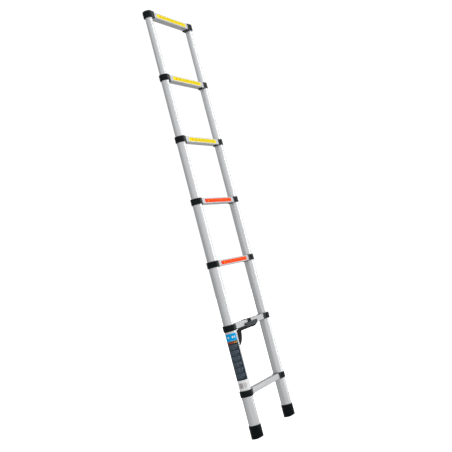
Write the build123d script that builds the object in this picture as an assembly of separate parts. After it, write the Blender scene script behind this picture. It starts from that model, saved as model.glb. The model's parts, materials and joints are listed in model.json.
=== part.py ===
from build123d import *

import os

# Telescoping ladder, extended. Z is up along the stiles, X runs along the rungs, the front is -Y.
# The origin is on the floor, midway between the two feet.

os.makedirs("parts", exist_ok=True)

# ---- driving dimensions, millimetres ----
STILE_SPACING = 410.0
SECTIONS = 6
RUNGS = SECTIONS + 1

LOWEST_TUBE_OD = 52.0
TUBE_OD_STEP = 3.8
TUBE_WALL = 1.4
TUBE_OVERLAP = 60.0

FIRST_RUNG_Z = 203.5
SECOND_RUNG_Z = 502.5
RUNG_PITCH = 295.0
TOP_RUNG_Z = 1987.0

COLLAR_HEIGHT = 29.0
COLLAR_ROUND = 2.0
COLLAR_LIP = 3.0
COLLAR_HALF_DEPTH = 18.5
COLLAR_TANGENT = 0.93
COLLAR_FACE = 2.0
COLLAR_EDGE = 0.6
COLLAR_RADIUS = [29.7, 29.7, 27.9, 26.0, 24.3, 22.2]
# distance from the stile axis to the face that the rung leaves, one for each rung
COLLAR_REACH = [37.0, 37.0, 30.0, 27.0, 26.5, 26.0, 32.0]

CAP_HEIGHT = 33.0
CAP_RADIUS = 22.4
CAP_ROUND = 6.0
CAP_ROOF = 5.0

RUNG_DEPTH = 34.0
RUNG_HEIGHT = 27.0
RUNG_WALL = 1.8
RUNG_ROUND = 3.0
RUNG_RISE = 0.2
SOCKET_DEPTH = 3.5
TREAD_GROOVES = 9
TREAD_GROOVE_WIDTH = 1.4
TREAD_GROOVE_DEPTH = 0.7
TREAD_GROOVE_PITCH = 3.0

PIN_RADIUS = 4.0
PIN_HEAD_RADIUS = 6.4
PIN_HEAD_LENGTH = 10.0
PIN_TRAVEL = 3.5
PIN_STANDOFF = 0.3
PIN_NOSE_CHAMFER = 0.8
TUBE_HOLE_RADIUS = 4.6

BUTTON_LENGTH = 16.0
BUTTON_WIDTH = 18.0
BUTTON_THICKNESS = 2.1
BUTTON_GAP = 0.2
BUTTON_ROUND = 2.5
GRIP_RIBS = 4
GRIP_PITCH = 3.2
GRIP_WIDTH = 1.2
GRIP_DEPTH = 0.8
STEM_LENGTH = 6.0
STEM_WIDTH = 5.0
STEM_DEPTH = 2.5

SPRING_LENGTH = 15.2
SPRING_RADIUS = 4.8
SPRING_WIRE = 0.5
SPRING_TURNS = 6

FOOT_HEIGHT = 60.0
FOOT_RADIUS = 28.5
FOOT_FLOOR = 8.0
FOOT_CORE = 22.0
FOOT_SOLE_ROUND = 2.5
FOOT_RIM_ROUND = 1.2
SOLE_BEVEL_START = 8.0
SOLE_BEVEL_DEGREES = 15.0
SOLE_GROOVE_WIDTH = 3.0
SOLE_GROOVE_DEPTH = 2.0
SOLE_GROOVE_PITCH = 10.0
SOLE_GROOVES = 5

PLUG_FLANGE = 5.0
PLUG_SLEEVE = 15.0
PLUG_WALL = 3.0
PLUG_LEAD = 1.0

STRAP_WIDTH = 38.0
STRAP_THICKNESS = 2.0
STRAP_CENTRE_X = -10.0
STRAP_GAP = 0.3
LAP_THICKNESS = 3.0
# outline of the strap's lapped end and tail, across and up
LAP_OUTLINE = [
    (-67, 501), (70, 501), (72, 490), (66, 481), (36, 475), (-60, 476), (-132, 474), (-147, 452),
    (-160, 430), (-174, 419), (-183, 416), (-187, 425), (-186, 460), (-180, 485), (-100, 489),
]

FIT = 0.05
GLIDE = 0.08
SLIP = 0.1

# ---- values worked out from them ----
HALF_SPACING = STILE_SPACING / 2
RUNG_Z = (
    [FIRST_RUNG_Z]
    + [SECOND_RUNG_Z + RUNG_PITCH * i for i in range(SECTIONS - 1)]
    + [TOP_RUNG_Z]
)
TUBE_R = [(LOWEST_TUBE_OD - TUBE_OD_STEP * i) / 2 for i in range(SECTIONS)]
RUNG_INSIDE_DEPTH = RUNG_DEPTH - 2 * RUNG_WALL
RUNG_INSIDE_HEIGHT = RUNG_HEIGHT - 2 * RUNG_WALL

# along the rung from the collar's face: the bore's shoulder, the pin head, the spring and its seat
SHOULDER = 1.0
HEAD_FRONT = SHOULDER + PIN_TRAVEL + 0.2
HEAD_BACK = HEAD_FRONT + PIN_HEAD_LENGTH
SPRING_FRONT = HEAD_BACK + SLIP
CHAMBER_END = SPRING_FRONT + SPRING_LENGTH + SLIP
SEAT_THICKNESS = 3.0
CHAMBER_RADIUS = PIN_HEAD_RADIUS + SLIP
STEM_START = HEAD_FRONT + 2.0
SLOT_START = STEM_START - PIN_TRAVEL - 0.6
SLOT_END = STEM_START + STEM_LENGTH + 1.6
SLOT_WIDTH = STEM_WIDTH + 0.6
PLAIN_SPIGOT = 20.0

NAMES = ["bottom", "second", "third", "fourth", "fifth", "sixth", "top"]
SIDES = {"left": -1, "right": 1}


def save(shape, name):
    export_step(shape, f"parts/{name}.step")


def rod(radius, start, end, z=0.0):
    """A cylinder along +X from start to end."""
    base = Plane(origin=(start, 0, z), x_dir=(0, 1, 0), z_dir=(1, 0, 0))
    return extrude(base * Circle(radius), end - start)


def post(radius, low, high):
    """A cylinder along +Z from low to high."""
    return extrude(Plane.XY.offset(low) * Circle(radius), high - low)


def block(x0, x1, y0, y1, z0, z1):
    """A box between two corners."""
    middle = ((x0 + x1) / 2, (y0 + y1) / 2, (z0 + z1) / 2)
    return Pos(*middle) * Box(x1 - x0, y1 - y0, z1 - z0)


def bar(depth, height, corner, start, end, z=0.0):
    """A bar of rounded rectangular section along +X."""
    base = Plane(origin=(start, 0, z), x_dir=(0, 1, 0), z_dir=(1, 0, 0))
    return extrude(base * RectangleRounded(depth, height, corner), end - start)


def placed(shape, side, z):
    """Carry a piece drawn about a left stile, with +X towards the rung, to its side and height."""
    if side > 0:
        shape = mirror(shape, about=Plane.YZ)
    return Pos(side * HALF_SPACING, 0, z) * shape


# ---- stiles ----
def tube_span(section):
    """Lowest and highest point of a section's tube."""
    if section == 0:
        low = FOOT_FLOOR
    else:
        low = RUNG_Z[section] + COLLAR_HEIGHT / 2 - TUBE_OVERLAP
    if section == SECTIONS - 1:
        return low, TOP_RUNG_Z + CAP_HEIGHT / 2 - CAP_ROOF
    return low, RUNG_Z[section + 1] + COLLAR_HEIGHT / 2 - COLLAR_LIP


def stile_tube(section):
    low, high = tube_span(section)
    radius = TUBE_R[section]
    tube = post(radius, low, high) - post(radius - TUBE_WALL, low - 1, high + 1)
    hole_heights = []
    if section > 0:
        hole_heights.append(RUNG_Z[section] + RUNG_RISE)
    if section < SECTIONS - 1:
        hole_heights.append(RUNG_Z[section + 1] + RUNG_RISE)
    for height in hole_heights:
        tube -= rod(TUBE_HOLE_RADIUS, 0, radius + 1, height)
    return tube


def guide_plug(section):
    """Plastic plug in the lower end of a telescoping tube: its flange runs in the tube outside."""
    low, _ = tube_span(section)
    guide = TUBE_R[section - 1] - TUBE_WALL - GLIDE
    inside = TUBE_R[section] - TUBE_WALL - FIT
    flange = chamfer(post(guide, low - PLUG_FLANGE, low).edges().group_by(Axis.Z)[0], PLUG_LEAD)
    plug = flange + post(inside, low, low + PLUG_SLEEVE)
    return plug - post(inside - PLUG_WALL, low - PLUG_FLANGE - 1, low + PLUG_SLEEVE + 1)


# ---- collars, drawn about the stile axis with the rung's height middle at z = 0 ----
def spigot(reach, length):
    """The part of a collar that fills the rung's end."""
    depth = RUNG_INSIDE_DEPTH - 2 * SLIP
    height = RUNG_INSIDE_HEIGHT - 2 * SLIP
    start = reach - SOCKET_DEPTH
    return bar(depth, height, RUNG_ROUND - RUNG_WALL, start, reach + length, RUNG_RISE)


def socket(reach):
    """The pocket that the rung's end stands in."""
    depth = RUNG_DEPTH + 2 * SLIP
    height = RUNG_HEIGHT + 2 * SLIP
    return bar(depth, height, RUNG_ROUND, reach - SOCKET_DEPTH, reach + 1, RUNG_RISE)


def collar_body(radius, reach, height, rounding):
    """Round band about the tube and the shoulder that leads to the rung."""
    band = post(radius, -height / 2, height / 2)
    band = fillet(band.edges().filter_by(GeomType.CIRCLE), rounding)
    outline = [
        (0, -COLLAR_TANGENT * radius),
        (reach - COLLAR_FACE, -COLLAR_HALF_DEPTH),
        (reach, -COLLAR_HALF_DEPTH),
        (reach, COLLAR_HALF_DEPTH),
        (reach - COLLAR_FACE, COLLAR_HALF_DEPTH),
        (0, COLLAR_TANGENT * radius),
    ]
    shoulder = extrude(Plane.XY.offset(-height / 2) * make_face(Polyline(*outline, close=True)), height)
    shoulder = chamfer(shoulder.edges().filter_by(Axis.Z, reverse=True), COLLAR_EDGE)
    return band + shoulder


def lock_collar(rung):
    """Collar at the head of a tube, with the lock's housing in its spigot."""
    reach = COLLAR_REACH[rung]
    top = COLLAR_HEIGHT / 2
    body = collar_body(COLLAR_RADIUS[rung], reach, COLLAR_HEIGHT, COLLAR_ROUND)
    body -= socket(reach)
    body += spigot(reach, CHAMBER_END + SEAT_THICKNESS)
    body -= post(TUBE_R[rung - 1] + FIT, -top - 1, top - COLLAR_LIP)
    body -= post(TUBE_R[rung] + GLIDE, -top, top + 1)
    body -= rod(PIN_RADIUS + GLIDE, 0, reach + SHOULDER + 1, RUNG_RISE)
    body -= rod(CHAMBER_RADIUS, reach + SHOULDER, reach + CHAMBER_END, RUNG_RISE)
    slot = block(reach + SLOT_START, reach + SLOT_END, -SLOT_WIDTH / 2, SLOT_WIDTH / 2, -top, 0)
    return body - slot


def fixed_collar():
    """Collar clamped part-way up the lowest tube for the bottom rung."""
    reach = COLLAR_REACH[0]
    body = collar_body(COLLAR_RADIUS[0], reach, COLLAR_HEIGHT, COLLAR_ROUND)
    body -= socket(reach)
    body += spigot(reach, PLAIN_SPIGOT)
    return body - post(TUBE_R[0] + FIT, -COLLAR_HEIGHT, COLLAR_HEIGHT)


def top_cap():
    """Closed cap over the uppermost tube, holding an end of the top rung."""
    reach = COLLAR_REACH[-1]
    low = -CAP_HEIGHT / 2
    band = post(CAP_RADIUS, low, -low)
    band = fillet(band.edges().group_by(Axis.Z)[-1], CAP_ROUND)
    band = fillet(band.edges().group_by(Axis.Z)[0], COLLAR_ROUND)
    shoulder = block(0, reach, -COLLAR_HALF_DEPTH, COLLAR_HALF_DEPTH, low, -low)
    shoulder = fillet(shoulder.edges().group_by(Axis.Z)[-1], COLLAR_ROUND)
    body = band + shoulder
    body -= socket(reach)
    body += spigot(reach, PLAIN_SPIGOT)
    return body - post(TUBE_R[-1] + FIT, low - 1, -low - CAP_ROOF)


# ---- rungs ----
def rung_bar(rung):
    half = HALF_SPACING - COLLAR_REACH[rung] + SOCKET_DEPTH - SLIP
    bore_round = RUNG_ROUND - RUNG_WALL
    shape = bar(RUNG_DEPTH, RUNG_HEIGHT, RUNG_ROUND, -half, half)
    shape -= bar(RUNG_INSIDE_DEPTH, RUNG_INSIDE_HEIGHT, bore_round, -half - 1, half + 1)
    top = RUNG_HEIGHT / 2
    for i in range(TREAD_GROOVES):
        y = (i - (TREAD_GROOVES - 1) / 2) * TREAD_GROOVE_PITCH
        y0, y1 = y - TREAD_GROOVE_WIDTH / 2, y + TREAD_GROOVE_WIDTH / 2
        shape -= block(-half - 1, half + 1, y0, y1, top - TREAD_GROOVE_DEPTH, top + 1)
    if 0 < rung < RUNGS - 1:
        for side in SIDES.values():
            near = HALF_SPACING - COLLAR_REACH[rung] - SLOT_START
            far = HALF_SPACING - COLLAR_REACH[rung] - SLOT_END
            x0, x1 = sorted((side * near, side * far))
            shape -= block(x0, x1, -SLOT_WIDTH / 2, SLOT_WIDTH / 2, -top - 1, 0)
    return Pos(0, 0, RUNG_Z[rung] + RUNG_RISE) * shape


# ---- locks, drawn about the stile axis with the rung's height middle at z = 0 ----
def lock_pin(rung):
    """Stepped pin: its nose stands just clear of the inner tube, its head carries the button."""
    reach = COLLAR_REACH[rung]
    tip = TUBE_R[rung] + PIN_STANDOFF
    nose = rod(PIN_RADIUS, tip, reach + HEAD_FRONT)
    nose = chamfer(nose.edges().group_by(Axis.X)[0], PIN_NOSE_CHAMFER)
    head = rod(PIN_HEAD_RADIUS, reach + HEAD_FRONT, reach + HEAD_BACK)
    mortise_start = reach + STEM_START - FIT
    mortise_end = reach + STEM_START + STEM_LENGTH + FIT
    half = STEM_WIDTH / 2 + FIT
    mortise = block(mortise_start, mortise_end, -half, half, -PIN_HEAD_RADIUS - 1, SLIP - STEM_DEPTH)
    return Pos(0, 0, RUNG_RISE) * (nose + head - mortise)


def thumb_button(rung):
    """Thumb slide under the rung, with the stem that stands in the pin's head."""
    start = COLLAR_REACH[rung] + HEAD_FRONT - 0.5
    top = RUNG_RISE - RUNG_HEIGHT / 2 - BUTTON_GAP
    low = top - BUTTON_THICKNESS
    half = BUTTON_WIDTH / 2
    pad = block(start, start + BUTTON_LENGTH, -half, half, low, top)
    pad = fillet(pad.edges().filter_by(Axis.Z), BUTTON_ROUND)
    rib = half - BUTTON_ROUND
    for i in range(1, GRIP_RIBS + 1):
        x = start + i * GRIP_PITCH
        pad -= block(x - GRIP_WIDTH / 2, x + GRIP_WIDTH / 2, -rib, rib, low - 1, low + GRIP_DEPTH)
    stem_start = COLLAR_REACH[rung] + STEM_START
    stem = block(
        stem_start, stem_start + STEM_LENGTH, -STEM_WIDTH / 2, STEM_WIDTH / 2, top, RUNG_RISE - STEM_DEPTH
    )
    return pad + stem


def lock_spring(rung):
    """Compression spring between the pin's head and its seat."""
    start = COLLAR_REACH[rung] + SPRING_FRONT + SPRING_WIRE
    length = SPRING_LENGTH - 2 * SPRING_WIRE
    path = Helix(length / SPRING_TURNS, length, SPRING_RADIUS)
    wire = sweep(Plane(origin=path @ 0, z_dir=path % 0) * Circle(SPRING_WIRE), path=path)
    return Pos(start, 0, RUNG_RISE) * Rot(0, 90, 0) * wire


# ---- foot ----
def foot():
    """Moulded foot: a cup round the tube's end, its sole bevelled at the front."""
    cup = post(FOOT_RADIUS, 0, FOOT_HEIGHT)
    cup = fillet(cup.edges().group_by(Axis.Z)[0], FOOT_SOLE_ROUND)
    cup = fillet(cup.edges().group_by(Axis.Z)[-1], FOOT_RIM_ROUND)
    cup -= post(TUBE_R[0] + FIT, FOOT_FLOOR, FOOT_HEIGHT + 1)
    cup += post(TUBE_R[0] - TUBE_WALL - FIT, FOOT_FLOOR - 1, FOOT_FLOOR + FOOT_CORE)
    reach = 2 * FOOT_RADIUS
    wedge = block(-reach, reach, -reach, 0, -reach / 2, 0)
    cup -= Pos(0, -SOLE_BEVEL_START, 0) * Rot(-SOLE_BEVEL_DEGREES, 0, 0) * wedge
    half = SOLE_GROOVE_WIDTH / 2
    for i in range(SOLE_GROOVES):
        x = (i - (SOLE_GROOVES - 1) / 2) * SOLE_GROOVE_PITCH
        cup -= block(x - half, x + half, -SOLE_BEVEL_START / 2, reach, -1, SOLE_GROOVE_DEPTH)
    return cup


# ---- carrying strap on the second rung ----
def strap():
    """Plain body of the strap: a sleeve round the rung, the lapped end in front and its tail."""
    middle = RUNG_Z[1] + RUNG_RISE
    start = STRAP_CENTRE_X - STRAP_WIDTH / 2
    end = STRAP_CENTRE_X + STRAP_WIDTH / 2
    inner = (RUNG_DEPTH + 2 * STRAP_GAP, RUNG_HEIGHT + 2 * STRAP_GAP)
    outer = (inner[0] + 2 * STRAP_THICKNESS, inner[1] + 2 * STRAP_THICKNESS)
    sleeve = bar(*outer, RUNG_ROUND + STRAP_THICKNESS, start, end, middle)
    sleeve -= bar(*inner, RUNG_ROUND, start - 1, end + 1, middle)
    front = -outer[0] / 2
    face = Plane(origin=(0, front, 0), x_dir=(1, 0, 0), z_dir=(0, -1, 0))
    lap = extrude(face * make_face(Polyline(*LAP_OUTLINE, close=True)), LAP_THICKNESS)
    return sleeve + lap


for section in range(SECTIONS):
    for name, side in SIDES.items():
        tube = placed(stile_tube(section), side, 0)
        save(tube, f"{NAMES[section]}_tube_{name}")

for section in range(1, SECTIONS):
    plugs = [placed(guide_plug(section), side, 0) for side in SIDES.values()]
    save(Compound(children=plugs), f"{NAMES[section]}_guide_plugs")

for rung in range(RUNGS):
    save(rung_bar(rung), f"{NAMES[rung]}_rung")

bottom_collars = [placed(fixed_collar(), side, RUNG_Z[0]) for side in SIDES.values()]
save(Compound(children=bottom_collars), "bottom_collars")

for rung in range(1, RUNGS - 1):
    label = NAMES[rung]
    collars = [placed(lock_collar(rung), side, RUNG_Z[rung]) for side in SIDES.values()]
    save(Compound(children=collars), f"{label}_collars")
    springs = [placed(lock_spring(rung), side, RUNG_Z[rung]) for side in SIDES.values()]
    save(Compound(children=springs), f"{label}_lock_springs")
    for name, side in SIDES.items():
        save(placed(lock_pin(rung), side, RUNG_Z[rung]), f"{label}_lock_pin_{name}")
        save(placed(thumb_button(rung), side, RUNG_Z[rung]), f"{label}_thumb_button_{name}")

for name, side in SIDES.items():
    save(placed(top_cap(), side, TOP_RUNG_Z), f"top_cap_{name}")
    save(placed(foot(), side, 0), f"foot_{name}")

save(strap(), "carrying_strap")
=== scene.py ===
import json
import math
import random

import bpy
from mathutils import Matrix, Vector, noise


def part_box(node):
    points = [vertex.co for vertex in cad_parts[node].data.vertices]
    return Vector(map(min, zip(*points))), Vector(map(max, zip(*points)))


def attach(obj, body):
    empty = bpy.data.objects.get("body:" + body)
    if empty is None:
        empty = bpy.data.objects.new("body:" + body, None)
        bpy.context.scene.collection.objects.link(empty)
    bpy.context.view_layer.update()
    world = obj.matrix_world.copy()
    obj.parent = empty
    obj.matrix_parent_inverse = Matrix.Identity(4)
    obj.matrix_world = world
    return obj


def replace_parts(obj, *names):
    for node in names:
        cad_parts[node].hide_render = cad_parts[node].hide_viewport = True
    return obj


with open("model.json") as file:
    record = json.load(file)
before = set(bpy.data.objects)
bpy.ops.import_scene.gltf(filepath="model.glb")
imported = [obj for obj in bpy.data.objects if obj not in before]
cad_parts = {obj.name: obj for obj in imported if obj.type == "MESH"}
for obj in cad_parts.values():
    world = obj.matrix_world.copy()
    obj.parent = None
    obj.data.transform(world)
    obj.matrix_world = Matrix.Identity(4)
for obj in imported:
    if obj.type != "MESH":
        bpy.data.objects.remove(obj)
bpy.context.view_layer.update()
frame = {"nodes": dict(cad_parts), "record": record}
RECORD = frame["record"]
SLOT_OF_NODE = {entry["node"]: entry["material_slot"] for entry in RECORD["subparts"]}
MM = 0.001
# the range that most of a noise's values lie in
NOISE_LOW, NOISE_HIGH = 0.3, 0.7


# ---------------------------------------------------------------- node helpers
class Shader:
    """A Principled material and short calls that add and wire its nodes."""

    def __init__(self, name):
        self.material = bpy.data.materials.new(name)
        self.material.use_nodes = True
        self.tree = self.material.node_tree
        self.bsdf = self.tree.nodes["Principled BSDF"]

    def node(self, kind, **settings):
        made = self.tree.nodes.new(kind)
        for key, value in settings.items():
            if key in made.inputs:
                made.inputs[key].default_value = value
            else:
                setattr(made, key, value)
        return made

    def link(self, source, target):
        self.tree.links.new(source, target)

    def set(self, **values):
        for key, value in values.items():
            self.bsdf.inputs[key.replace("_", " ")].default_value = value

    def coordinates(self, scale, kind="Object"):
        """Object or UV coordinates, in metres, times a scale along each axis."""
        source = self.node("ShaderNodeTexCoord")
        mapping = self.node("ShaderNodeMapping")
        mapping.inputs["Scale"].default_value = scale
        self.link(source.outputs[kind], mapping.inputs["Vector"])
        return mapping.outputs["Vector"]

    def noise(self, scale, detail=3.0, kind="Object"):
        made = self.node("ShaderNodeTexNoise")
        made.inputs["Scale"].default_value = 1.0
        made.inputs["Detail"].default_value = detail
        self.link(self.coordinates(scale, kind), made.inputs["Vector"])
        return made.outputs["Fac"]

    def ramp(self, source, low, high, out_low, out_high):
        made = self.node("ShaderNodeMapRange")
        for key, value in zip(("From Min", "From Max", "To Min", "To Max"), (low, high, out_low, out_high)):
            made.inputs[key].default_value = value
        self.link(source, made.inputs["Value"])
        return made.outputs["Result"]

    def vary(self, source, out_low, out_high):
        """A noise's usual range, spread over an output range."""
        return self.ramp(source, NOISE_LOW, NOISE_HIGH, out_low, out_high)

    def mix(self, factor, first, second):
        made = self.node("ShaderNodeMix", data_type="RGBA")
        self.link(factor, made.inputs["Factor"])
        for socket, value in ((made.inputs[6], first), (made.inputs[7], second)):
            if isinstance(value, tuple):
                socket.default_value = (*value, 1.0)
            else:
                self.link(value, socket)
        return made.outputs[2]

    def math(self, operation, first, second):
        made = self.node("ShaderNodeMath", operation=operation)
        for socket, value in zip(made.inputs, (first, second)):
            if isinstance(value, (int, float)):
                socket.default_value = value
            else:
                self.link(value, socket)
        return made.outputs["Value"]

    def bump(self, height, distance, strength=1.0):
        made = self.node("ShaderNodeBump")
        made.inputs["Strength"].default_value = strength
        made.inputs["Distance"].default_value = distance
        self.link(height, made.inputs["Height"])
        self.link(made.outputs["Normal"], self.bsdf.inputs["Normal"])

    def colour(self, source):
        self.link(source, self.bsdf.inputs["Base Color"])

    def roughness(self, source):
        self.link(source, self.bsdf.inputs["Roughness"])


# ---------------------------------------------------------------- materials
def anodised(name, tone, along):
    """Satin anodised extrusion: fine die lines along one axis, faint broad bands and rub marks."""
    shader = Shader(name)
    fine = [900.0, 900.0, 900.0]
    fine[along] = 5.0
    broad = [60.0, 60.0, 60.0]
    broad[along] = 0.8
    lines = shader.noise(fine, 4.0)
    bands = shader.noise(broad, 2.0)
    cloud = shader.noise((14.0, 14.0, 14.0), 4.0)
    shade = shader.math("ADD", shader.vary(lines, -0.5, 0.5), shader.vary(bands, -1.0, 1.0))
    dark = tuple(value * 0.86 for value in tone)
    light = tuple(min(1.0, value * 1.08) for value in tone)
    shader.colour(shader.mix(shader.ramp(shade, -1.5, 1.5, 0.0, 1.0), dark, light))
    worn = shader.math("ADD", shader.vary(lines, 0.0, 0.10), shader.vary(cloud, 0.0, 0.08))
    shader.roughness(shader.math("ADD", worn, 0.30))
    shader.bump(lines, 0.00003, 0.5)
    shader.set(Metallic=1.0)
    return shader.material


def moulded(name, tone, roughness, grain, depth, gloss=0.5):
    """Moulded plastic or rubber: a fine spark-eroded grain, dusty patches and a soft gloss."""
    shader = Shader(name)
    pits = shader.noise((grain, grain, grain), 2.0)
    dust = shader.noise((35.0, 35.0, 35.0), 5.0)
    light = tuple(value * 1.6 + 0.002 for value in tone)
    shader.colour(shader.mix(shader.ramp(dust, 0.45, 0.75, 0.0, 1.0), tone, light))
    shader.roughness(shader.vary(dust, roughness - 0.06, roughness + 0.10))
    shader.bump(pits, depth, 0.6)
    shader.set(Specular_IOR_Level=gloss)
    return shader.material


def plated_steel(name, tone):
    """Zinc-plated turned steel."""
    shader = Shader(name)
    rings = shader.noise((2500.0, 120.0, 120.0), 3.0)
    dark = tuple(value * 0.8 for value in tone)
    shader.colour(shader.mix(rings, dark, tone))
    shader.roughness(shader.vary(rings, 0.22, 0.38))
    shader.bump(rings, 0.00002, 0.5)
    shader.set(Metallic=1.0)
    return shader.material


def webbing(name, tone, light, warp, weft, depth):
    """Woven narrow fabric: crossing warp and weft ribs, worked out in the ribbon's own metres."""
    shader = Shader(name)
    place = shader.node("ShaderNodeSeparateXYZ")
    shader.link(shader.coordinates((1.0, 1.0, 1.0), "UV"), place.inputs["Vector"])
    along = shader.math("SINE", shader.math("MULTIPLY", place.outputs["X"], 2 * math.pi / warp), 0.0)
    across = shader.math("SINE", shader.math("MULTIPLY", place.outputs["Y"], 2 * math.pi / weft), 0.0)
    weave = shader.math("MULTIPLY", along, across)
    fuzz = shader.noise((2600.0, 2600.0, 1.0), 3.0, "UV")
    height = shader.math("ADD", shader.ramp(weave, -1.0, 1.0, 0.0, 1.0), fuzz)
    shader.colour(shader.mix(shader.ramp(height, 0.3, 1.5, 0.0, 1.0), tone, light))
    shader.bump(height, depth, 0.8)
    shader.set(Roughness=0.9, Specular_IOR_Level=0.06, Sheen_Weight=0.04, Sheen_Roughness=0.45)
    return shader.material


def printed_film(name, tone, roughness=0.32):
    """Printed vinyl: an even ink with faint mottling."""
    shader = Shader(name)
    mottle = shader.noise((160.0, 160.0, 160.0), 4.0)
    dark = tuple(value * 0.93 for value in tone)
    shader.colour(shader.mix(shader.ramp(mottle, 0.35, 0.65, 0.0, 1.0), dark, tone))
    shader.roughness(shader.vary(mottle, roughness - 0.05, roughness + 0.07))
    shader.bump(mottle, 0.00004, 0.3)
    shader.set(Specular_IOR_Level=0.02)
    return shader.material


SLOT_MATERIALS = {
    "stile_aluminium": anodised("stile_aluminium", (0.615, 0.625, 0.635), 2),
    "rung_aluminium": anodised("rung_aluminium", (0.56, 0.565, 0.575), 0),
    "collar_plastic": moulded("collar_plastic", (0.0022, 0.0046, 0.0054), 0.24, 1500.0, 0.00003, 0.11),
    "foot_rubber": moulded("foot_rubber", (0.0006, 0.0026, 0.0030), 0.16, 1100.0, 0.00004, 0.10),
    "guide_plastic": moulded("guide_plastic", (0.62, 0.62, 0.58), 0.45, 1500.0, 0.00003),
    "pin_steel": plated_steel("pin_steel", (0.62, 0.62, 0.64)),
    "button_plastic": moulded("button_plastic", (0.0025, 0.0040, 0.0046), 0.44, 1400.0, 0.00006, 0.10),
    "spring_steel": plated_steel("spring_steel", (0.50, 0.50, 0.53)),
    "strap_webbing": webbing(
        "strap_webbing", (0.004, 0.004, 0.005), (0.020, 0.020, 0.023), 0.0020, 0.0016, 0.0003
    ),
}
HOOK_TAPE = webbing("hook_tape", (0.022, 0.025, 0.028), (0.075, 0.082, 0.088), 0.0014, 0.0014, 0.0004)
FILMS = {
    "yellow": printed_film("film_yellow", (0.84, 0.70, 0.001)),
    "amber": printed_film("film_amber", (0.80, 0.36, 0.006)),
    "brick": printed_film("film_brick", (0.62, 0.09, 0.004)),
    "olive": printed_film("film_olive", (0.42, 0.33, 0.010)),
    "red": printed_film("film_red", (0.86, 0.014, 0.006)),
    "coral": printed_film("film_coral", (0.90, 0.040, 0.004)),
    "orange": printed_film("film_orange", (0.84, 0.20, 0.006)),
    "white": printed_film("film_white", (0.80, 0.80, 0.80)),
    "blue": printed_film("film_blue", (0.004, 0.36, 0.76)),
    "slate": printed_film("film_slate", (0.022, 0.034, 0.048)),
    "haze": printed_film("film_haze", (0.115, 0.140, 0.170)),
    "grey": printed_film("film_grey", (0.28, 0.28, 0.29)),
    "taupe": printed_film("film_taupe", (0.13, 0.11, 0.11)),
}

for node, piece in frame["nodes"].items():
    for material_slot in piece.material_slots:
        material_slot.material = SLOT_MATERIALS[SLOT_OF_NODE[node]]


# ---------------------------------------------------------------- mesh helpers
def mesh_object(name, points, faces, materials, face_materials=None, uvs=None, smooth=True):
    mesh = bpy.data.meshes.new(name)
    mesh.from_pydata([tuple(p) for p in points], [], faces)
    for material in materials:
        mesh.materials.append(material)
    for index, polygon in enumerate(mesh.polygons):
        polygon.use_smooth = smooth
        if face_materials:
            polygon.material_index = face_materials[index]
    if uvs:
        layer = mesh.uv_layers.new(name="UVMap")
        for loop in mesh.loops:
            layer.data[loop.index].uv = uvs[loop.vertex_index]
    mesh.validate()
    made = bpy.data.objects.new(name, mesh)
    bpy.context.scene.collection.objects.link(made)
    return made


FILM_THICK = 0.15


class Film:
    """Builds one sticker out of thin closed plates, each with its own ink, on any surface."""

    def __init__(self, name, surface):
        self.name, self.surface = name, surface
        self.points, self.faces, self.inks, self.face_inks = [], [], [], []

    def ink(self, name):
        if name not in self.inks:
            self.inks.append(name)
        return self.inks.index(name)

    def plate(self, outline, ink, layer, thickness=FILM_THICK, back=0.0):
        """A plate over a convex outline of (u, v) points in mm, standing on the layer below it."""
        start, count = len(self.points), len(outline)
        for height in (layer + thickness, back):
            self.points += [self.surface(u, v, height) for u, v in outline]
        index = self.ink(ink)
        top = list(range(start, start + count))
        bottom = list(range(start + count, start + 2 * count))
        made = [tuple(top), tuple(reversed(bottom))]
        made += [(top[i], bottom[i], bottom[(i + 1) % count], top[(i + 1) % count]) for i in range(count)]
        self.faces += made
        self.face_inks += [index] * len(made)

    def strip(self, u0, u1, v0, v1, ink, layer, step=4.0):
        """A rectangle, cut into a row of plates so that it follows a curved surface."""
        pieces = max(1, round(abs(u1 - u0) / step))
        start, index = len(self.points), self.ink(ink)
        top, back = layer + FILM_THICK, layer
        corners = ((v0, top), (v1, top), (v1, back), (v0, back))
        for i in range(pieces + 1):
            u = u0 + (u1 - u0) * i / pieces
            self.points += [self.surface(u, v, height) for v, height in corners]
        for i in range(pieces):
            a, b = start + 4 * i, start + 4 * (i + 1)
            for k in range(4):
                self.faces.append((a + k, b + k, b + (k + 1) % 4, a + (k + 1) % 4))
                self.face_inks.append(index)
        last = start + 4 * pieces
        self.faces += [(start, start + 1, start + 2, start + 3), (last + 3, last + 2, last + 1, last)]
        self.face_inks += [index, index]

    def finish(self, body):
        inks = [FILMS[name] for name in self.inks]
        made = mesh_object(self.name, self.points, self.faces, inks, self.face_inks, smooth=False)
        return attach(made, body)


def rounded(u0, u1, v0, v1, radius, steps=6):
    """Outline of a rounded rectangle."""
    corners = ((u1 - radius, v1 - radius, 0), (u0 + radius, v1 - radius, 90),
               (u0 + radius, v0 + radius, 180), (u1 - radius, v0 + radius, 270))
    outline = []
    for cu, cv, start in corners:
        for i in range(steps + 1):
            angle = math.radians(start + 90 * i / steps)
            outline.append((cu + radius * math.cos(angle), cv + radius * math.sin(angle)))
    return outline


def disc(centre, radius):
    """Outline of a round spot on the middle line, its arcs a hair short of a full circle."""
    return rounded(centre - radius, centre + radius, -radius, radius, radius - 0.1)


# ---------------------------------------------------------------- stickers on the upper rungs
RUNG_FILMS = {
    "third_rung": ("second_section", "red"),
    "fourth_rung": ("third_section", "red"),
    "fifth_rung": ("fourth_section", "yellow"),
    "sixth_rung": ("fifth_section", "yellow"),
    "top_rung": ("sixth_section", "yellow"),
}
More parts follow.
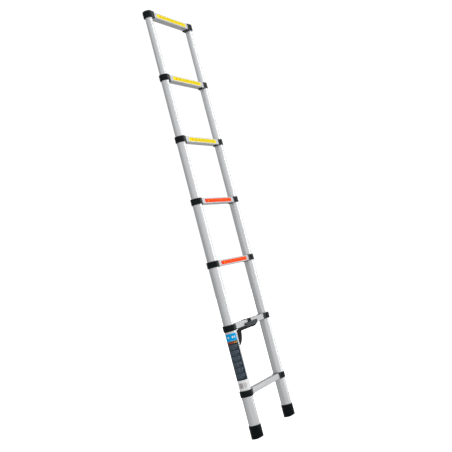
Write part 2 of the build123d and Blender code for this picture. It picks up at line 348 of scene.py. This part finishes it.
# sizes in millimetres
FILM_HALF_LENGTH = 146.0
FILM_HALF_HEIGHT = 8.6
YELLOW_CORNER = 5.5
RED_CORNER, CORAL_CORNER = 1.5, 1.0
CORAL_INSET_ENDS, CORAL_INSET_SIDES = 3, 2
DISC_INSET = 32.0
DISC_RADIUS, SPOT_RADIUS = 6.5, 2.5
STRIPE_ROWS = 4
STRIPE_TOP, STRIPE_PITCH = 5.0, 3.3
STRIPE_HALF_HEIGHT, STRIPE_CORNER = 0.65, 0.4
STRIPE_START, STRIPE_STAGGER = 16.0, 4.0
STRIPE_SHORTEST, STRIPE_LONGEST = 46.0, 80.0
STRIPE_GAP = 5.0
STRIPE_END_MARGIN, STRIPE_LAST_START = 10.0, 16.0
# Each layer's height above the rung, its thickness, and the height of its back. The backs suit the red films.
# Yellow ones have no field layer, so their discs and stripes stand about 0.05 mm clear of the ground.
GROUND_LAYER = (0.02, 0.18)
FIELD_LAYER = (0.20, 0.06, 0.19)
STRIPE_LAYER = (0.26, 0.05, 0.25)
DISC_LAYER = (0.26, 0.06, 0.24)
SPOT_LAYER = (0.32, 0.05, 0.31)


def rung_film(node, body, scheme, seed):
    """Coloured strip on a rung's front: a plain field, a round spot and rows of long plain stripes."""
    low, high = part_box(node)
    front, middle = low[1], (low[2] + high[2]) / 2
    draw = random.Random(seed)

    def on_face(u, v, height):
        return Vector((u * MM, front - height * MM, middle + v * MM))

    film = Film(node.replace("rung", "rung_film"), on_face)
    half, tall = FILM_HALF_LENGTH, FILM_HALF_HEIGHT
    if scheme == "yellow":
        film.plate(rounded(-half, half, -tall, tall, YELLOW_CORNER), "yellow", *GROUND_LAYER)
        panel, spot, stripe_inks = "amber", "brick", ("olive", "olive", "amber")
    else:
        film.plate(rounded(-half, half, -tall, tall, RED_CORNER), "red", *GROUND_LAYER)
        long, short = half - CORAL_INSET_ENDS, tall - CORAL_INSET_SIDES
        film.plate(rounded(-long, long, -short, short, CORAL_CORNER), "coral", *FIELD_LAYER)
        panel, spot, stripe_inks = "orange", "amber", ("orange", "orange", "red")
    centre = -half + DISC_INSET
    film.plate(disc(centre, DISC_RADIUS), panel, *DISC_LAYER)
    film.plate(disc(centre, SPOT_RADIUS), spot, *SPOT_LAYER)
    for row in range(STRIPE_ROWS):
        v = STRIPE_TOP - row * STRIPE_PITCH
        low_edge, high_edge = v - STRIPE_HALF_HEIGHT, v + STRIPE_HALF_HEIGHT
        u = centre + STRIPE_START + draw.uniform(0.0, STRIPE_STAGGER)
        while u < half - STRIPE_LAST_START:
            end = min(u + draw.uniform(STRIPE_SHORTEST, STRIPE_LONGEST), half - STRIPE_END_MARGIN)
            outline = rounded(u, end, low_edge, high_edge, STRIPE_CORNER, 2)
            film.plate(outline, stripe_inks[row % 3], *STRIPE_LAYER)
            u = end + STRIPE_GAP
    return film.finish(body)


for seed, (node, (body, scheme)) in enumerate(RUNG_FILMS.items()):
    rung_film(node, body, scheme, seed)


# ---------------------------------------------------------------- label round the left lower tube
# Millimetres: heights above the floor, and distances round the tube from its outer side.
LABEL_LOW, LABEL_HIGH = 221.0, 480.0
LABEL_WHITE_TOP, LABEL_SLATE_TOP = 266.0, 445.0
LABEL_HALF_ANGLE = 84.0
LABEL_EDGE = 1
LABEL_SEED = 11
BLUE_FIELD = (LABEL_SLATE_TOP + 1.5, LABEL_HIGH - LABEL_EDGE)
SLATE_BAND = (LABEL_SLATE_TOP - 1.5, LABEL_SLATE_TOP + 0.7)
SLATE_FIELD = (LABEL_WHITE_TOP, LABEL_SLATE_TOP - 2.0)
# heights of the printed layers above the tube
LABEL_GROUND, LABEL_FIELD, LABEL_PRINT, LABEL_OVERPRINT = 0.03, 0.19, 0.35, 0.52
# length of one flat plate of small print, finer than the fields' so that it follows the tube more closely
PRINT_STEP = 2.0
# left edge and width of each block, and how far they reach below and above the blue field's middle
BLUE_BLOCKS = ((-8.0, 6.0), (12.0, 7.0), (22.0, 6.0))
BLOCK_BELOW, BLOCK_ABOVE = 3.5, 4.5
SWATCHES, BRICK_SWATCHES = 6, 4
SWATCH_LEFT, SWATCH_RIGHT, SWATCH_PITCH = -22.0, -15.5, 9.5
SWATCH_LOW, SWATCH_HIGH = LABEL_SLATE_TOP - 9.5, LABEL_SLATE_TOP - 4.5
PANEL_ROWS, PANEL_ROW_PITCH = 6, 26.5
PANEL_START = LABEL_SLATE_TOP - 16.0
PANEL_LEFTS, PANEL_WIDTH = (-27.0, -13.0, 1.0, 15.0), 11.0
# how far the lower and upper edges lie below the start of a row
PANEL_LOW, PANEL_HIGH = 13.0, 1.0
PATCH_LOW, PATCH_HIGH = 9.5, 4.5
RULE_LOW, RULE_HIGH = 16.4, 15.2
PATCH_INSET = 2.0
PATCH_SHORTEST, PATCH_LONGEST = 4.0, 7.0
RULES, RULE_PITCH = 3, 2.9
RULE_NEAREST_END, RULE_FARTHEST_END = 14.0, 27.0
# check and bars, their bottoms measured from the label's lower edge
CHECK_COLUMNS, CHECK_ROWS, CHECK_CELL = 9, 10, 2.3
CHECK_LEFT, CHECK_BOTTOM = -14.0, 10.0
BAR_ROWS, BAR_PITCH, BAR_HEIGHT = 6, 3.8, 1.3
BAR_LEFT, BAR_BOTTOM = 10.0, 11.0
BAR_SHORTEST, BAR_LONGEST = 12.0, 19.0


def blue_and_swatches(film):
    """White blocks on the blue field, and a row of small coloured squares under it."""
    blue_middle = (LABEL_SLATE_TOP + LABEL_HIGH) / 2
    low, high = blue_middle - BLOCK_BELOW, blue_middle + BLOCK_ABOVE
    for u0, width in BLUE_BLOCKS:
        film.strip(u0, u0 + width, low, high, "white", LABEL_PRINT, PRINT_STEP)
    for k in range(SWATCHES):
        ink = "brick" if k < BRICK_SWATCHES else "amber"
        left, right = SWATCH_LEFT + k * SWATCH_PITCH, SWATCH_RIGHT + k * SWATCH_PITCH
        film.strip(left, right, SWATCH_LOW, SWATCH_HIGH, ink, LABEL_PRINT, PRINT_STEP)


def slate_panels(film, draw):
    """Rows of four plain panels, each with a darker patch, and three uneven rules under each row."""
    for row in range(PANEL_ROWS):
        v = PANEL_START - row * PANEL_ROW_PITCH
        for u in PANEL_LEFTS:
            film.strip(u, u + PANEL_WIDTH, v - PANEL_LOW, v - PANEL_HIGH, "haze", LABEL_PRINT, PRINT_STEP)
            patch = u + PATCH_INSET
            end = patch + draw.uniform(PATCH_SHORTEST, PATCH_LONGEST)
            film.strip(patch, end, v - PATCH_LOW, v - PATCH_HIGH, "slate", LABEL_OVERPRINT, PRINT_STEP)
        for line in range(RULES):
            end = draw.uniform(RULE_NEAREST_END, RULE_FARTHEST_END)
            drop = line * RULE_PITCH
            film.strip(PANEL_LEFTS[0], end, v - RULE_LOW - drop, v - RULE_HIGH - drop, "haze", LABEL_PRINT)


def white_foot(film, draw):
    """A regular check and a stack of plain bars on the white foot of the label."""
    for i in range(CHECK_COLUMNS):
        for k in range(CHECK_ROWS):
            if (i + k) % 2 == 0:
                u, v = CHECK_LEFT + i * CHECK_CELL, LABEL_LOW + CHECK_BOTTOM + k * CHECK_CELL
                film.strip(u, u + CHECK_CELL, v, v + CHECK_CELL, "taupe", LABEL_FIELD)
    for row in range(BAR_ROWS):
        v = LABEL_LOW + BAR_BOTTOM + row * BAR_PITCH
        end = BAR_LEFT + draw.uniform(BAR_SHORTEST, BAR_LONGEST)
        film.strip(BAR_LEFT, end, v, v + BAR_HEIGHT, "grey", LABEL_FIELD)


def tube_label():
    """Long label round the outer side of the left lower tube: blue over slate over white."""
    low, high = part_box("bottom_tube_left")
    axis_x, axis_y = (low[0] + high[0]) / 2, (low[1] + high[1]) / 2
    radius = (high[1] - low[1]) / 2
    half = math.radians(LABEL_HALF_ANGLE) * radius / MM
    inner = half - LABEL_EDGE
    draw = random.Random(LABEL_SEED)

    def on_tube(u, v, height):
        angle = u * MM / radius
        reach = radius + height * MM
        return Vector((axis_x - reach * math.cos(angle), axis_y - reach * math.sin(angle), v * MM))

    film = Film("tube_label", on_tube)
    film.strip(-half, half, LABEL_LOW, LABEL_HIGH, "white", LABEL_GROUND)
    film.strip(-inner, inner, *BLUE_FIELD, "blue", LABEL_FIELD)
    film.strip(-inner, inner, *SLATE_BAND, "slate", LABEL_FIELD)
    film.strip(-inner, inner, *SLATE_FIELD, "slate", LABEL_FIELD)
    blue_and_swatches(film)
    slate_panels(film, draw)
    white_foot(film, draw)
    return film.finish("base")


tube_label()


# ---------------------------------------------------------------- carrying strap
RUNG_LOW, RUNG_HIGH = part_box("second_rung")
RUNG_MIDDLE_Z = (RUNG_LOW[2] + RUNG_HIGH[2]) / 2
RUNG_FRONT_Y = RUNG_LOW[1]
# Metres: x from the ladder's middle, heights from the middle of the rung, depths from its front face.
STRAP_X = -0.010
STRAP_HALF_WIDTH = 0.019
STRAP_THICK = 0.0016
WRAP_STANDOFF, WRAP_CORNER, WRAP_SKEW = 0.0012, 0.004, 0.0012
WRAP_STEPS, WRAP_CORNER_STEPS = 8, 5
WRAP_RIPPLE, LAP_RIPPLE, TAPE_RIPPLE = 0.0006, 0.0009, 0.0006
RIPPLES_PER_METRE = 30.0
LAP_RIGHT, LAP_LEFT = 0.068, -0.166
LAP_LONG_STEPS, LAP_CROSS_STEPS = 48, 7
# the lap's upper edge is measured from the underside of the rung
LAP_TOP, LAP_TOP_FALL, LAP_DROP = 0.0012, 0.0006, 0.0275
LAP_CORNER, LAP_CORNER_SHARE = 0.0100, 0.14
LAP_WAVE = 0.0032
LAP_FRONT, LAP_CURL = 0.0028, 0.0022
TAPE_RIGHT, TAPE_LEFT = 0.071, -0.067
TAPE_LONG_STEPS, TAPE_CROSS_STEPS = 30, 6
TAPE_THICK = 0.0014
TAPE_TOP, TAPE_TOP_FALL, TAPE_DROP = 0.0005, 0.0010, 0.0205
TAPE_CORNER, TAPE_CORNER_SHARE = 0.0080, 0.10
TAPE_FRONT, TAPE_BULGE = 0.0048, 0.0006
TAIL_LONG_STEPS, TAIL_CROSS_STEPS = 24, 7
TAIL_TOP, TAIL_LENGTH = 0.0165, 0.0705
TAIL_LEFT, TAIL_LEFT_LEAN = -0.1880, 0.0012
TAIL_RIGHT, TAIL_RIGHT_LEAN, TAIL_TAPER = -0.1520, 0.0040, 0.0240
TAIL_FRONT, TAIL_FLARE = 0.0052, 0.0078
TIP_START, TIP_LEAST = 0.78, 0.02


def fractions(steps):
    """0 to 1 in equal steps, with both ends."""
    return [i / steps for i in range(steps + 1)]


def ribbon(name, rows, material, thickness, closed=False):
    """A cloth slab over rows of points, each row running across it. UVs are its own metres."""
    across = len(rows[0])
    points, uvs, faces = [], [], []
    travelled = 0.0
    for i, row in enumerate(rows):
        if i:
            travelled += (Vector(row[across // 2]) - Vector(rows[i - 1][across // 2])).length
        side = 0.0
        for k, point in enumerate(row):
            if k:
                side += (Vector(point) - Vector(row[k - 1])).length
            points.append(point)
            uvs.append((travelled, side))
    for i in range(len(rows) if closed else len(rows) - 1):
        for k in range(across - 1):
            a, b = i * across + k, ((i + 1) % len(rows)) * across + k
            faces.append((a, a + 1, b + 1, b))
    made = mesh_object(name, points, faces, [material], uvs=uvs)
    solid = made.modifiers.new("thickness", "SOLIDIFY")
    solid.thickness, solid.offset = thickness, 0.0
    finer = made.modifiers.new("smooth", "SUBSURF")
    finer.levels = finer.render_levels = 2
    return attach(made, "base")


def ripple(x, z, amount, seed):
    """A smooth random offset of about the given amount, the same every time for one place and seed."""
    return amount * noise.noise(Vector((x * RIPPLES_PER_METRE, z * RIPPLES_PER_METRE, seed)))


def strap_wrap():
    """The turn of webbing round the rung, tight on its rounded corners."""
    depth = (RUNG_HIGH[1] - RUNG_LOW[1]) / 2 + WRAP_STANDOFF
    height = (RUNG_HIGH[2] - RUNG_LOW[2]) / 2 + WRAP_STANDOFF
    rows = []
    for y, z in rounded(-depth, depth, -height, height, WRAP_CORNER, WRAP_CORNER_STEPS):
        skew = WRAP_SKEW * z / height
        row = []
        for s in fractions(WRAP_STEPS):
            x = STRAP_X - STRAP_HALF_WIDTH + 2 * STRAP_HALF_WIDTH * s
            row.append((x + skew + ripple(y, z, WRAP_RIPPLE, 3.0), y, RUNG_MIDDLE_Z + z))
        rows.append(row)
    return ribbon("strap_wrap", rows, SLOT_MATERIALS["strap_webbing"], STRAP_THICK, closed=True)


def strap_lap():
    """The length under the rung's front edge, from right of the turn to the left collar, wavy below."""
    rows = []
    for t in fractions(LAP_LONG_STEPS):
        x = LAP_RIGHT + (LAP_LEFT - LAP_RIGHT) * t
        top = RUNG_LOW[2] + LAP_TOP - LAP_TOP_FALL * t
        bottom = RUNG_MIDDLE_Z - LAP_DROP + LAP_CORNER * max(0.0, 1 - t / LAP_CORNER_SHARE) ** 1.5
        bottom += ripple(x, 0.0, LAP_WAVE, 1.0)
        row = []
        for s in fractions(LAP_CROSS_STEPS):
            z = top + (bottom - top) * s
            y = RUNG_FRONT_Y - LAP_FRONT + LAP_CURL * s * s + ripple(x, z, LAP_RIPPLE, 5.0)
            row.append((x, y, z))
        rows.append(row)
    return ribbon("strap_lap", rows, SLOT_MATERIALS["strap_webbing"], STRAP_THICK)


def strap_hook():
    """Hook tape at the strap's end, pressed on the turn round the rung, one lower corner cut away."""
    rows = []
    for t in fractions(TAPE_LONG_STEPS):
        x = TAPE_RIGHT + (TAPE_LEFT - TAPE_RIGHT) * t
        top = RUNG_MIDDLE_Z + TAPE_TOP - TAPE_TOP_FALL * t
        bottom = RUNG_MIDDLE_Z - TAPE_DROP + TAPE_CORNER * max(0.0, 1 - t / TAPE_CORNER_SHARE) ** 2
        row = []
        for s in fractions(TAPE_CROSS_STEPS):
            z = top + (bottom - top) * s
            bulge = TAPE_BULGE * math.sin(math.pi * s)
            y = RUNG_FRONT_Y - TAPE_FRONT - bulge + ripple(x, z, TAPE_RIPPLE, 9.0)
            row.append((x, y, z))
        rows.append(row)
    return ribbon("strap_hook_tape", rows, HOOK_TAPE, TAPE_THICK)


def strap_tail():
    """The tail, hanging beside the stile to a rounded tip, its free edge turned forward at the top."""
    rows = []
    for t in fractions(TAIL_LONG_STEPS):
        z = RUNG_MIDDLE_Z - TAIL_TOP - TAIL_LENGTH * t
        left = TAIL_LEFT - TAIL_LEFT_LEAN * t
        right = TAIL_RIGHT - TAIL_RIGHT_LEAN * t - TAIL_TAPER * t ** 3
        if t > TIP_START:
            narrow = math.sqrt(max(TIP_LEAST, 1 - ((t - TIP_START) / (1 - TIP_START)) ** 2))
            right = left + (right - left) * narrow
        row = []
        for s in fractions(TAIL_CROSS_STEPS):
            y = RUNG_FRONT_Y - TAIL_FRONT - TAIL_FLARE * (1 - t * t) * s
            row.append((left + (right - left) * s, y, z))
        rows.append(row)
    return ribbon("strap_tail", rows, SLOT_MATERIALS["strap_webbing"], STRAP_THICK)


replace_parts(strap_wrap(), "carrying_strap")
strap_lap()
strap_hook()
strap_tail()


# ---------------------------------------------------------------- camera
# The lens stands low at the left front and is turned about its own axis, so that the ladder leans left.
SENSOR_WIDTH_MM = 36.0
LENS_MM = 70.77345
CAMERA_AZIMUTH = math.radians(-65.64)
CAMERA_DISTANCE = 4.2045
CAMERA_HEIGHT = 0.692
CAMERA_PITCH = math.radians(3.71)
CAMERA_YAW = math.radians(0.25)
CAMERA_ROLL = math.radians(14.705)


def turned(first, second, angle):
    """Turn the first direction towards the second."""
    return (
        math.cos(angle) * first + math.sin(angle) * second,
        math.cos(angle) * second - math.sin(angle) * first,
    )


def add_camera():
    camera = bpy.data.objects.new("camera", bpy.data.cameras.new("camera"))
    bpy.context.scene.collection.objects.link(camera)
    camera.data.sensor_width = SENSOR_WIDTH_MM
    camera.data.lens = LENS_MM
    sine, cosine = math.sin(CAMERA_AZIMUTH), math.cos(CAMERA_AZIMUTH)
    ahead, right, up = Vector((-sine, cosine, 0)), Vector((cosine, sine, 0)), Vector((0, 0, 1))
    ahead, right = turned(ahead, right, CAMERA_YAW)
    ahead, up = turned(ahead, up, CAMERA_PITCH)
    up, right = turned(up, right, CAMERA_ROLL)
    turn = Matrix((right, up, -ahead)).transposed().to_4x4()
    place = Vector((sine * CAMERA_DISTANCE, -cosine * CAMERA_DISTANCE, CAMERA_HEIGHT))
    camera.matrix_world = Matrix.Translation(place) @ turn
    bpy.context.scene.camera = camera


# ---------------------------------------------------------------- studio
LADDER_MIDDLE = (0, 0, 1.0)
FLOOR_RADIUS, FLOOR_SIDES = 60.0, 64
FLOOR_GLOW = 0.75
# painted light and shade on the floor that the metal reflects: its grey runs from light in front of the
# ladder to dark behind it
FLOOR_PAINTED_LIGHT_SPAN = 1.5
FLOOR_FRONT_PAINTED_LIGHT, FLOOR_BACK_PAINTED_SHADE = 0.95, 0.50
# Direction out behind the ladder. The metal sees the world's front strength up to where the cosine of the
# angle from that direction is WORLD_TURN, then darker and darker down to the back strength.
BACKWARD = (0.099, 0.995, 0.0)
WORLD_TURN = -0.1
WORLD_FRONT, WORLD_BACK = 0.98, 0.49
# the world's strength as the lens sees it
WORLD_SEEN = 1.05


def add_floor():
    """Pale floor. What the lens sees is brighter than what the metal reflects, as under a lit sweep; the
    floor that the metal reflects has painted light in front of the ladder and painted shade behind it.
    """
    shader = Shader("floor_paper_painted_light")
    grain = shader.noise((30.0, 30.0, 30.0), 3.0)
    shader.colour(shader.mix(grain, (0.86, 0.86, 0.86), (0.90, 0.90, 0.90)))
    shader.set(Roughness=0.9, Specular_IOR_Level=0.0)
    shader.bsdf.inputs["Emission Color"].default_value = (1, 1, 1, 1)
    shader.bsdf.inputs["Emission Strength"].default_value = FLOOR_GLOW
    place = shader.node("ShaderNodeSeparateXYZ")
    shader.link(shader.coordinates((1.0, 1.0, 1.0)), place.inputs["Vector"])
    painted_light_diffuse = shader.node("ShaderNodeBsdfDiffuse")
    # painted light and shade: the reflected floor's grey runs from light at the front to dark behind the
    # ladder
    shade = shader.ramp(place.outputs["Y"], -FLOOR_PAINTED_LIGHT_SPAN, FLOOR_PAINTED_LIGHT_SPAN, FLOOR_FRONT_PAINTED_LIGHT, FLOOR_BACK_PAINTED_SHADE)
    shader.link(shader.mix(shade, (0.0, 0.0, 0.0), (1.0, 1.0, 1.0)), painted_light_diffuse.inputs["Color"])
    choose = shader.node("ShaderNodeMixShader")
    shader.link(shader.node("ShaderNodeLightPath").outputs["Is Camera Ray"], choose.inputs[0])
    shader.link(painted_light_diffuse.outputs[0], choose.inputs[1])
    shader.link(shader.bsdf.outputs[0], choose.inputs[2])
    shader.link(choose.outputs[0], shader.tree.nodes["Material Output"].inputs["Surface"])
    angles = [2 * math.pi * i / FLOOR_SIDES for i in range(FLOOR_SIDES)]
    points = [(FLOOR_RADIUS * math.cos(angle), FLOOR_RADIUS * math.sin(angle), 0) for angle in angles]
    mesh_object("floor", points, [tuple(range(FLOOR_SIDES))], [shader.material])


def add_world():
    """Pale all round, darker behind the ladder, so that the tubes keep a dark edge."""
    world = bpy.data.worlds.new("studio")
    bpy.context.scene.world = world
    world.use_nodes = True
    tree = world.node_tree
    nodes, links = tree.nodes, tree.links
    background = nodes["Background"]
    place = nodes.new("ShaderNodeTexCoord")
    direction = nodes.new("ShaderNodeVectorMath")
    direction.operation = "DOT_PRODUCT"
    direction.inputs[1].default_value = BACKWARD
    links.new(place.outputs["Generated"], direction.inputs[0])
    ramp = nodes.new("ShaderNodeMapRange")
    limits = {"From Min": WORLD_TURN, "From Max": 1.0, "To Min": WORLD_FRONT, "To Max": WORLD_BACK}
    for key, value in limits.items():
        ramp.inputs[key].default_value = value
    links.new(direction.outputs["Value"], ramp.inputs["Value"])
    seen = nodes.new("ShaderNodeLightPath")
    strength = nodes.new("ShaderNodeMix")
    links.new(seen.outputs["Is Camera Ray"], strength.inputs["Factor"])
    links.new(ramp.outputs["Result"], strength.inputs[2])
    strength.inputs[3].default_value = WORLD_SEEN
    background.inputs["Color"].default_value = (1, 1, 1, 1)
    links.new(strength.outputs[0], background.inputs["Strength"])


def add_area(name, place, target, size, power):
    light = bpy.data.lights.new(name, "AREA")
    light.shape, light.size, light.size_y, light.energy = "RECTANGLE", size[0], size[1], power
    made = bpy.data.objects.new(name, light)
    bpy.context.scene.collection.objects.link(made)
    made.location = place
    made.rotation_euler = (Vector(target) - Vector(place)).to_track_quat("-Z", "Y").to_euler()


def add_studio():
    add_floor()
    add_world()
    add_area("key_right", (1.97, -2.89, 1.25), LADDER_MIDDLE, size=(0.9, 3.6), power=40)
    add_area("front_high", (-0.2, -3.0, 3.8), LADDER_MIDDLE, size=(1.5, 1.5), power=26)
    bpy.context.scene.view_settings.view_transform = "Standard"


add_camera()
add_studio()
